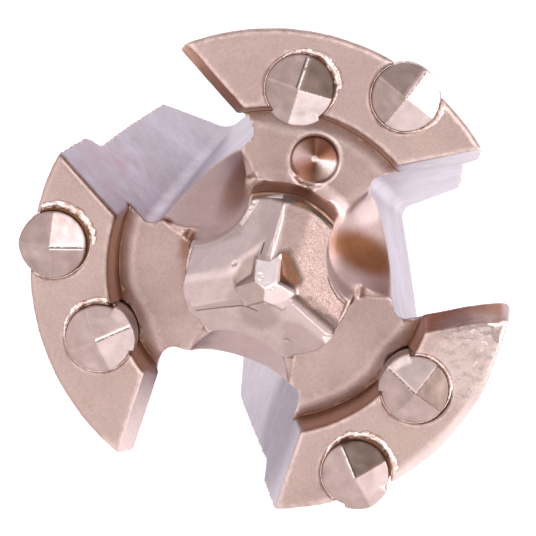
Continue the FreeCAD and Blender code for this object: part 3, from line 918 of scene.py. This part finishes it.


# The tones below paint the tip's light and shade, facet by facet.
# Tone, coarseness, softness and outline (x, y in mm) of the tip's ground and rough places, later ones on top.
TIP_PLACES = (
    (0.71, 0.0, 0.8, [
        (-13.6, 3.8), (-9.0, 4.6), (-4.0, 6.6), (-0.9, 12.9), (0.2, 12.7), (-0.9, 7.2), (-2.0, 4.4),
        (-6.0, 1.4), (-13.6, -0.2),
    ]),
    (0.53, 0.0, 1.2, [
        (-11.0, -5.4), (-3.0, -4.6), (0.0, -4.6), (2.0, -6.0), (2.0, -13.4), (-4.0, -12.6),
        (-9.4, -9.4),
    ]),
    (0.45, 0.0, 1.2, [(3.0, -6.4), (5.0, -6.8), (8.6, -10.2), (3.0, -13.2)]),
    (0.47, 1.0, 0.8, [
        (6.6, 10.8), (10.3, 7.8), (13.4, 4.6), (13.4, -0.2), (13.0, -3.8), (10.3, -7.4), (7.0, -2.4),
        (4.5, 0.0), (4.5, 4.9), (5.5, 7.9),
    ]),
    (0.49, 1.0, 1.6, [
        (6.6, 8.6), (8.5, 9.3), (9.0, 6.6), (8.6, 2.6), (9.3, -1.0), (11.0, -3.6), (10.2, -5.8),
        (7.4, -3.6), (5.6, 1.0), (5.9, 5.2),
    ]),
    (0.36, 0.45, 1.2, [
        (2.9, 12.6), (6.2, 11.4), (5.2, 7.9), (4.3, 4.9), (2.5, 4.9), (1.9, 6.1), (2.4, 8.1),
    ]),
    (0.0, 0.3, 1.4, [(2.5, 4.4), (3.2, 4.3), (4.0, 2.4), (4.9, 0.5), (4.2, 0.1), (2.1, 1.1)]),
    (0.30, 0.9, 0.9, [(4.4, -2.2), (6.6, -2.6), (8.6, -4.8), (10.8, -7.2), (9.6, -7.7), (7.0, -5.3)]),
    (0.08, 0.9, 0.4, [(3.5, -1.9), (4.9, -1.9), (10.6, -7.9), (9.7, -8.1), (7.0, -5.6)]),
    (0.64, 0.0, 0.8, [
        (-0.9, 12.7), (1.0, 12.6), (-0.1, 7.2), (-1.0, 4.4), (-1.7, 3.8), (-3.9, 3.0), (-2.2, 5.5),
        (-0.7, 7.8),
    ]),
    (0.60, 0.0, 0.9, [(1.3, 12.7), (2.6, 12.5), (1.9, 7.4), (0.9, 4.3), (-1.0, 4.2), (-0.1, 7.2)]),
    (0.40, 0.0, 0.9, [
        (-1.9, 4.0), (-1.4, 3.2), (-1.4, 1.4), (-3.0, 0.5), (-4.7, 0.4), (-3.9, 1.9), (-3.2, 3.2),
    ]),
    (0.44, 0.0, 0.9, [(-4.4, 0.0), (-1.6, 1.3), (0.1, 0.0), (-0.2, -3.1), (-3.0, -2.3), (-5.6, -2.0)]),
    (0.40, 0.0, 1.4, [(-3.5, -3.8), (0.2, -3.3), (1.2, -5.6), (-1.0, -7.0), (-3.2, -5.8)]),
    (0.48, 0.0, 0.3, [
        (-11.4, -4.2), (-5.6, -2.5), (-3.0, -2.2), (-1.4, -4.2), (-3.1, -3.3), (-10.9, -4.6),
    ]),
    (0.62, 0.0, 0.9, [
        (2.2, -2.2), (3.4, -2.0), (7.0, -5.5), (9.5, -7.9), (8.4, -8.4), (5.1, -5.2), (2.5, -3.1),
    ]),
    (1.0, 0.0, 0.12, [(-1.4, 3.9), (0.7, 3.6), (2.3, 4.6), (2.1, 0.8), (0.2, -0.1), (-1.5, 1.3)]),
    (0.75, 0.0, 0.12, [(0.1, -0.1), (2.1, 0.7), (4.2, -0.8), (4.1, -1.6), (2.6, -2.3), (-0.2, -2.9)]),
    (0.92, 0.0, 0.15, [(2.6, 13.1), (4.4, 12.3), (2.9, 11.7)]),
    (0.97, 0.0, 0.15, [(8.5, -8.4), (10.4, -8.8), (8.9, -9.9)]),
    (0.95, 1.0, 0.15, [
        (-1.2, 12.8), (-2.1, 12.2), (-3.0, 10.9), (-4.4, 8.6), (-3.9, 8.5), (-2.7, 10.2),
        (-1.6, 11.8),
    ]),
)
# Place and radius of the small pits in the tip.
TIP_PITS = (
    (-0.7, 2.0, 16.2, 0.30), (-0.8, 1.2, 17.0, 0.22), (-0.4, 1.6, 16.5, 0.20), (1.3, 0.0, 17.1, 0.28),
    (0.8, -0.4, 17.2, 0.20), (1.8, 0.5, 16.9, 0.22), (0.4, 0.8, 17.3, 0.16), (-1.0, -0.3, 17.1, 0.18),
    (-4.9, 3.0, 11.5, 0.45), (3.0, -9.3, 9.1, 0.5), (-2.9, 10.9, 6.4, 0.30), (-2.1, 11.7, 6.0, 0.45),
    (-3.6, 9.7, 6.6, 0.25),
)
# Painted highlight lines along the tip's ridges and edges, and dark lines on it (x, y in mm).
TIP_HIGHLIGHTS = (
    [(2.7, 12.0), (2.4, 9.6), (1.5, 6.2), (0.8, 4.0)],
    [(-1.6, 12.55), (0.3, 12.75), (2.3, 12.85)],
    [(-1.5, 3.8), (-1.45, 1.4)],
)
TIP_DARK = (
    [(-0.35, 6.2), (-0.8, 4.7)],
    [(-10.9, -4.6), (-6.8, -3.8), (-4.0, -3.4), (-3.0, -3.5), (-1.4, -4.2)],
    [(7.0, 10.6), (8.4, 9.2), (9.6, 7.7)],
    [(9.2, 0.4), (9.7, -1.2), (10.7, -3.0), (11.7, -4.0)],
)
# Where the tip's valleys are rounded: centre, radius and soft edge, the rib's foot seen along the axis.
TIP_VALLEYS = (((-6.0, 5.0, 9.5), 3.5, 3.0), ((4.5, 1.5, 13.0), 2.0, 1.5))
RIB_FOOT = ((0.3, 4.5, 0.0), 1.3, 1.2)


def by_lines(points, lines):
    """1 on some lines seen along the axis, falling to 0 at 1 mm from them."""
    away = np.full(len(points), 1.0)
    for line in lines:
        for (x1, y1), (x2, y2) in zip(line, line[1:]):
            x, y = points[:, 0] - x1, points[:, 1] - y1
            dx, dy = x2 - x1, y2 - y1
            t = np.clip((x * dx + y * dy) / (dx * dx + dy * dy), 0, 1)
            away = np.minimum(away, np.hypot(x - t * dx, y - t * dy))
    return 1 - away


def make_tip():
    """Carbide tip with slightly rounded ridges, small pits and a coarse face between two of its blades."""
    mesh = remeshed("centre_tip", TIP_VOXEL)
    edges = edges_of(mesh)
    points = smoothed(vectors_of(mesh), edges, 3)
    valley = near(points * FLAT, *RIB_FOOT)
    for place in TIP_VALLEYS:
        valley = np.maximum(valley, near(points, *place))
    points = relaxed(points, edges, 0.5 * valley, 60)
    placed(mesh, points)
    normals = vectors_of(mesh, "normal")
    crown = rise(points[:, 2], 4.0, 5.0)
    # Painted light and shade, facet by facet, set as tones.
    tone = np.full(len(points), 0.57)
    coarse = np.zeros(len(points))
    for place_tone, place_coarse, soft, corners in TIP_PLACES:
        share = inside(points, corners, soft) * crown
        tone += (place_tone - tone) * share
        coarse += (place_coarse - coarse) * share
    turn = turn_of(points)
    # The rim on the top arm's side is painted darker, as shade.
    rim = rise(reach_of(points), 12.1, 12.7) * band(turn, 30.0, 108.0, 5.0)
    tone *= 1 - 0.85 * rim
    dark = by_lines(points, TIP_DARK) * crown
    sink = 0.02 * (field(points, 1.6, 3) - 0.8) + coarse * 0.045 * (field(points, 0.6, 2, 3.0) - 0.8)
    for x, y, z, radius in TIP_PITS:
        sink -= 0.6 * radius * near(points, (x, y, z), radius * 0.3, radius)
        dark = np.maximum(dark, 1 - 0.4 * np.linalg.norm(points - (x, y, z), axis=1) / radius)
    points = points + normals * (sink * crown)[:, None]
    placed(mesh, points)
    set_mask(mesh, "edge", bulging(mesh, points, edges, 4) / 0.06 * (1 - rim))
    set_mask(mesh, "tone", tone)
    set_mask(mesh, "coarse", coarse)
    # Painted highlights along the tip's ridges and edges.
    set_mask(mesh, "bright", by_lines(points, TIP_HIGHLIGHTS) * crown)
    set_mask(mesh, "dark", dark)
    piece("tip_carbide", thinned(mesh, TIP_BUDGET), carbide, "carbide", "centre_tip")


TIP_VOXEL = 0.16
TIP_BUDGET = 120000
make_tip()


# Ring inserts and their braze
INSERT_RADIUS = 5.3
# Name, reach and angle of the centre, ridge angle, tones painting the light and shade of the four facets
# anticlockwise from that ridge, angle of the side that stands clear of the steel with its half width, and how
# far that side swells.
INSERTS = (
    ("outer_insert_1", 34.7, 52.6, 52.0, (0.50, 0.46, 0.80, 0.93), 52.6, 40.0, 0.0),
    ("inner_insert_1", 29.3, 81.0, 72.0, (0.52, 0.47, 0.9, 0.26), 261.0, 42.0, 0.55),
    ("outer_insert_2", 34.7, 172.6, -4.0, (0.88, 0.52, 0.50, 0.54), 172.6, 40.0, 0.0),
    ("inner_insert_2", 29.3, 201.0, 21.0, (0.68, 0.54, 0.60, 0.74), 21.0, 42.0, 0.55),
    ("outer_insert_3", 34.7, 292.6, 115.0, (0.54, 0.53, 0.66, 0.22), 292.6, 40.0, 0.5),
    ("inner_insert_3", 29.3, 321.0, 140.0, (0.50, 0.56, 0.26, 0.80), 141.0, 42.0, 0.55),
)
# Lines along the ridge of each insert, as distances to its anticlockwise side: painted highlight ones, dark
# ones, and the tone and width of the ground land there.
LANDS = (
    ((), (-0.05,), 0.66, 0.7),
    ((0.0,), (0.42,), 0.0, 0.0),
    ((0.22, -0.32), (-0.08,), 0.0, 0.0),
    ((0.22,), (-0.04,), 0.0, 0.0),
    ((0.0,), (-0.28,), 0.0, 0.0),
    ((), (0.0,), 0.0, 0.0),
)


def make_insert(name, reach, angle, ridge, tones, clear, width, swell, bright, dark, land_tone, land_width):
    """Carbide insert with facets toned as painted light and shade, a ground land and a side that swells clear
    of the steel.
    """
    mesh = remeshed(name, INSERT_VOXEL)
    edges = edges_of(mesh)
    points = smoothed(vectors_of(mesh), edges, 2)
    centre = reach * outward(angle)
    local = points - centre
    turn = turn_of(local)
    off = np.abs(angle_from(turn, clear))
    grown = (1 - rise(off, width - 1.2, width + 1.2)) * rise(points[:, 2], -6.0, -4.0)
    grown *= rise(reach_of(local), 4.2, 5.1)
    factor = 1 + swell / INSERT_RADIUS * grown
    points[:, 0] = centre[0] + local[:, 0] * factor
    points[:, 1] = centre[1] + local[:, 1] * factor
    placed(mesh, points)
    normals = vectors_of(mesh, "normal")
    points = points + normals * (0.015 * (field(points, 1.2, 3, reach + angle) - 0.8))[:, None]
    placed(mesh, points)
    # Each facet gets a tone that paints its light and shade.
    quarter = ((turn - ridge) % 360) / 90
    tone = np.zeros(len(points))
    for k, value in enumerate(tones):
        tone += value * (np.floor(quarter) == k)
    along = outward(ridge)[:2]
    across = np.array((-along[1], along[0]))
    a, b = local[:, :2] @ along, local[:, :2] @ across
    if land_width:
        tone = np.where((a > 0.2) & (b > 0) & (b < land_width), land_tone, tone)
    tone = np.where(points[:, 2] < 0.3, 0.5, tone)
    tone += 0.10 * (field(points, 2.6, 2, 5.0 + angle) - 0.8)

    def lines(offsets):
        found = np.zeros(len(points))
        for offset in offsets:
            past = np.maximum(np.maximum(0.15 - a, a - 4.9), 0)
            found = np.maximum(found, 1 - np.hypot(past, b - offset))
        return found * (points[:, 2] > 0.3)

    set_mask(mesh, "edge", bulging(mesh, points, edges, 4) / 0.10)
    set_mask(mesh, "tone", tone)
    set_mask(mesh, "coarse", np.full(len(points), 0.08))
    # Painted highlight lines along the ridge.
    set_mask(mesh, "bright", lines(bright))
    set_mask(mesh, "dark", lines(dark))
    piece(name + "_carbide", thinned(mesh, INSERT_BUDGET), carbide, "carbide", name)


INSERT_VOXEL = 0.17
INSERT_BUDGET = 24000
for row, land in zip(INSERTS, LANDS):
    make_insert(*row, *land)


BEAD_STEPS = 280
# Section of a bead's crest from its outside in: shares of its width and height, and how much painted shadow
# it takes.
BEAD_CREST = (
    (0.95, 0.35, 0), (0.80, 0.80, 0), (0.62, 1.0, 0), (0.44, 0.95, 0), (0.26, 0.70, 0), (0.10, 0.25, 0.3),
)
# Reach from the bit's axis that the beads keep within, between the ring's inner wall and the rim.
BEAD_REACH = (26.2, 37.6)
# Side, size and gap of the bead round each insert.
BEADS = (
    (-38.0, 1.1, 0.0),
    (12.0, 1.3, 0.10),
    (42.0, 1.1, 0.55),
    (78.0, 0.95, 0.15),
    (48.0, 1.1, 0.45),
    (5.0, 0.4, 0.0),
)


def make_bead(name, reach, angle, clear, width, side, size, gap):
    """Braze round an insert: a thin sleeve in the pocket, and a lumpy bead on one side past a gap painted
    dark as shadow.
    """
    centre = Vector(reach * outward(angle))
    verts, faces, gap_shades = [], [], []
    for k in range(BEAD_STEPS):
        turn = 360.0 * k / BEAD_STEPS
        spot = Vector(outward(turn))
        rough = noise.fractal(spot * 2.6 + Vector((angle, 0, 0)), 0.8, 2.0, 3)
        heap = size * max(0.0, math.cos(math.radians(turn - side) * 0.85)) ** 0.8
        off = abs(angle_from(turn, clear))
        shown = 1 - max(0.0, min(1.0, (width + 4 - off) / 6))
        crescent = gap * max(0.0, math.cos(math.radians(turn - side))) ** 0.6
        wide = (0.12 + heap * (1.05 + 0.35 * rough)) * shown
        high = (heap * (0.42 + 0.22 * rough)) * shown
        start = 0.10 + crescent * shown
        sleeve = 0.14 - 0.17 * (1 - shown)
        floor = -1.5 * (1 - shown)
        ring = [(-0.10, -11.0, 0), (sleeve, -11.1, 0), (sleeve, -0.5 + floor, 0)]
        ring.append((start + wide, -0.07 + floor, 0))
        ring += [(start + wide * out, 0.03 + high * up + floor, dark) for out, up, dark in BEAD_CREST]
        ring += [(start, 0.03 + floor, 1), (start * 0.5, 0.03 + floor, 1)]
        ring += [(-0.02, 0.02 + floor, 1), (-0.10, -0.6 + floor, 1)]
        for m, (radius, z, dark) in enumerate(ring):
            spot_here = centre + spot * (INSERT_RADIUS + radius)
            if 3 < m < 10 and shown > 0.5 and heap > 0.02:
                lump = noise.fractal((spot_here + Vector((0, 0, angle))) * 1.7, 0.9, 2.0, 3) - 0.5
                z += 0.16 * lump * min(1.0, heap * 2)
                spot_here += spot * (0.10 * lump)
            distance = math.hypot(spot_here.x, spot_here.y)
            limit = min(max(distance, BEAD_REACH[0]), BEAD_REACH[1]) if m > 2 else distance
            spot_here *= limit / distance
            verts.append(spot_here + Vector((0, 0, z)))
            gap_shades.append(dark)
    sides = len(ring)
    for k in range(BEAD_STEPS):
        a, b = k * sides, ((k + 1) % BEAD_STEPS) * sides
        for m in range(sides):
            n = (m + 1) % sides
            faces.append((a + m, a + n, b + n, b + m))
    mesh = bpy.data.meshes.new(name)
    mesh.from_pydata(verts, [], faces)
    mesh.update()
    set_mask(mesh, "gap", np.array(gap_shades, dtype=float))
    piece(name + "_bead", mesh, braze, "braze", name)


for (name, reach, angle, _, _, clear, width, _), bead in zip(INSERTS, BEADS):
    make_bead(name + "_braze", reach, angle, clear, width, *bead)


# Floor and light
FLOOR_RADIUS = 7.0


def make_floor():
    """Large pale floor, a little uneven in tone."""
    side, rings = 96, 40
    verts, faces = [(0, 0, 0)], []
    for ring in range(1, rings + 1):
        radius = FLOOR_RADIUS * (ring / rings) ** 2
        for k in range(side):
            turn = 2 * math.pi * k / side
            verts.append((radius * math.cos(turn), radius * math.sin(turn), 0))
    for k in range(side):
        faces.append((0, 1 + k, 1 + (k + 1) % side))
        for ring in range(rings - 1):
            a, b = 1 + ring * side, 1 + (ring + 1) * side
            faces.append((a + k, b + k, b + (k + 1) % side, a + (k + 1) % side))
    mesh = bpy.data.meshes.new("floor")
    mesh.from_pydata(verts, [], faces)
    floor = bpy.data.objects.new("floor", mesh)
    scene.collection.objects.link(floor)
    s = Shader("floor_paint")
    tone = s.ramp(s.noise(160.0, 2.0), ((0.3, (0.52, 0.52, 0.53)), (0.7, (0.55, 0.55, 0.55))))
    s.surface(Base_Color=tone, Roughness=0.9, Emission_Color=(1.0, 0.985, 1.0), Emission_Strength=0.85)
    mesh.materials.append(s.material)


def area_light(name, place, aim, size, power, colour):
    data = bpy.data.lights.new(name, "AREA")
    data.size = size
    data.energy = power
    data.color = colour
    light = bpy.data.objects.new(name, data)
    light.location = place
    light.rotation_euler = (Vector(aim) - Vector(place)).to_track_quat("-Z", "Y").to_euler()
    scene.collection.objects.link(light)


# Sky from behind the camera to behind the bit, its strength, where the lamps aim, and the lamps' name, place,
# size (m), power (W) and colour.
SKY = ((0.0, (0.60, 0.57, 0.58)), (0.5, (0.54, 0.50, 0.53)), (1.0, (1.0, 0.97, 1.02)))
SKY_STRENGTH = 1.2
LAMP_AIM = (0.0, -0.28, 0.037)
LAMPS = (
    ("key", (0.35, -1.1, 0.75), 0.7, 4.5, (1.0, 0.96, 0.95)),
    ("fill", (-0.7, -0.9, 0.3), 0.9, 3.0, (1.0, 0.97, 0.97)),
    ("right", (0.75, -0.35, 0.22), 0.5, 3.0, (1.0, 0.97, 1.0)),
)


def make_light():
    """White sky, brighter and cooler behind the head than in front of it, and a few soft lamps."""
    world = bpy.data.worlds.new("studio")
    scene.world = world
    world.use_nodes = True
    tree = world.node_tree
    background = tree.nodes["Background"]
    coords = tree.nodes.new("ShaderNodeTexCoord")
    split = tree.nodes.new("ShaderNodeSeparateXYZ")
    sky = tree.nodes.new("ShaderNodeValToRGB")
    share = tree.nodes.new("ShaderNodeMapRange")
    share.inputs["From Min"].default_value = -1.0
    tree.links.new(coords.outputs["Generated"], split.inputs[0])
    tree.links.new(split.outputs["Y"], share.inputs["Value"])
    tree.links.new(share.outputs["Result"], sky.inputs["Fac"])
    tree.links.new(sky.outputs[0], background.inputs["Color"])
    elements = sky.color_ramp.elements
    elements.new(0.5)
    for element, (place, colour) in zip(elements, SKY):
        element.position = place
        element.color = (*colour, 1)
    background.inputs["Strength"].default_value = SKY_STRENGTH
    for name, place, size, power, colour in LAMPS:
        area_light(name, place, LAMP_AIM, size, power, colour)
    scene.view_settings.view_transform = "Standard"


make_floor()
make_light()
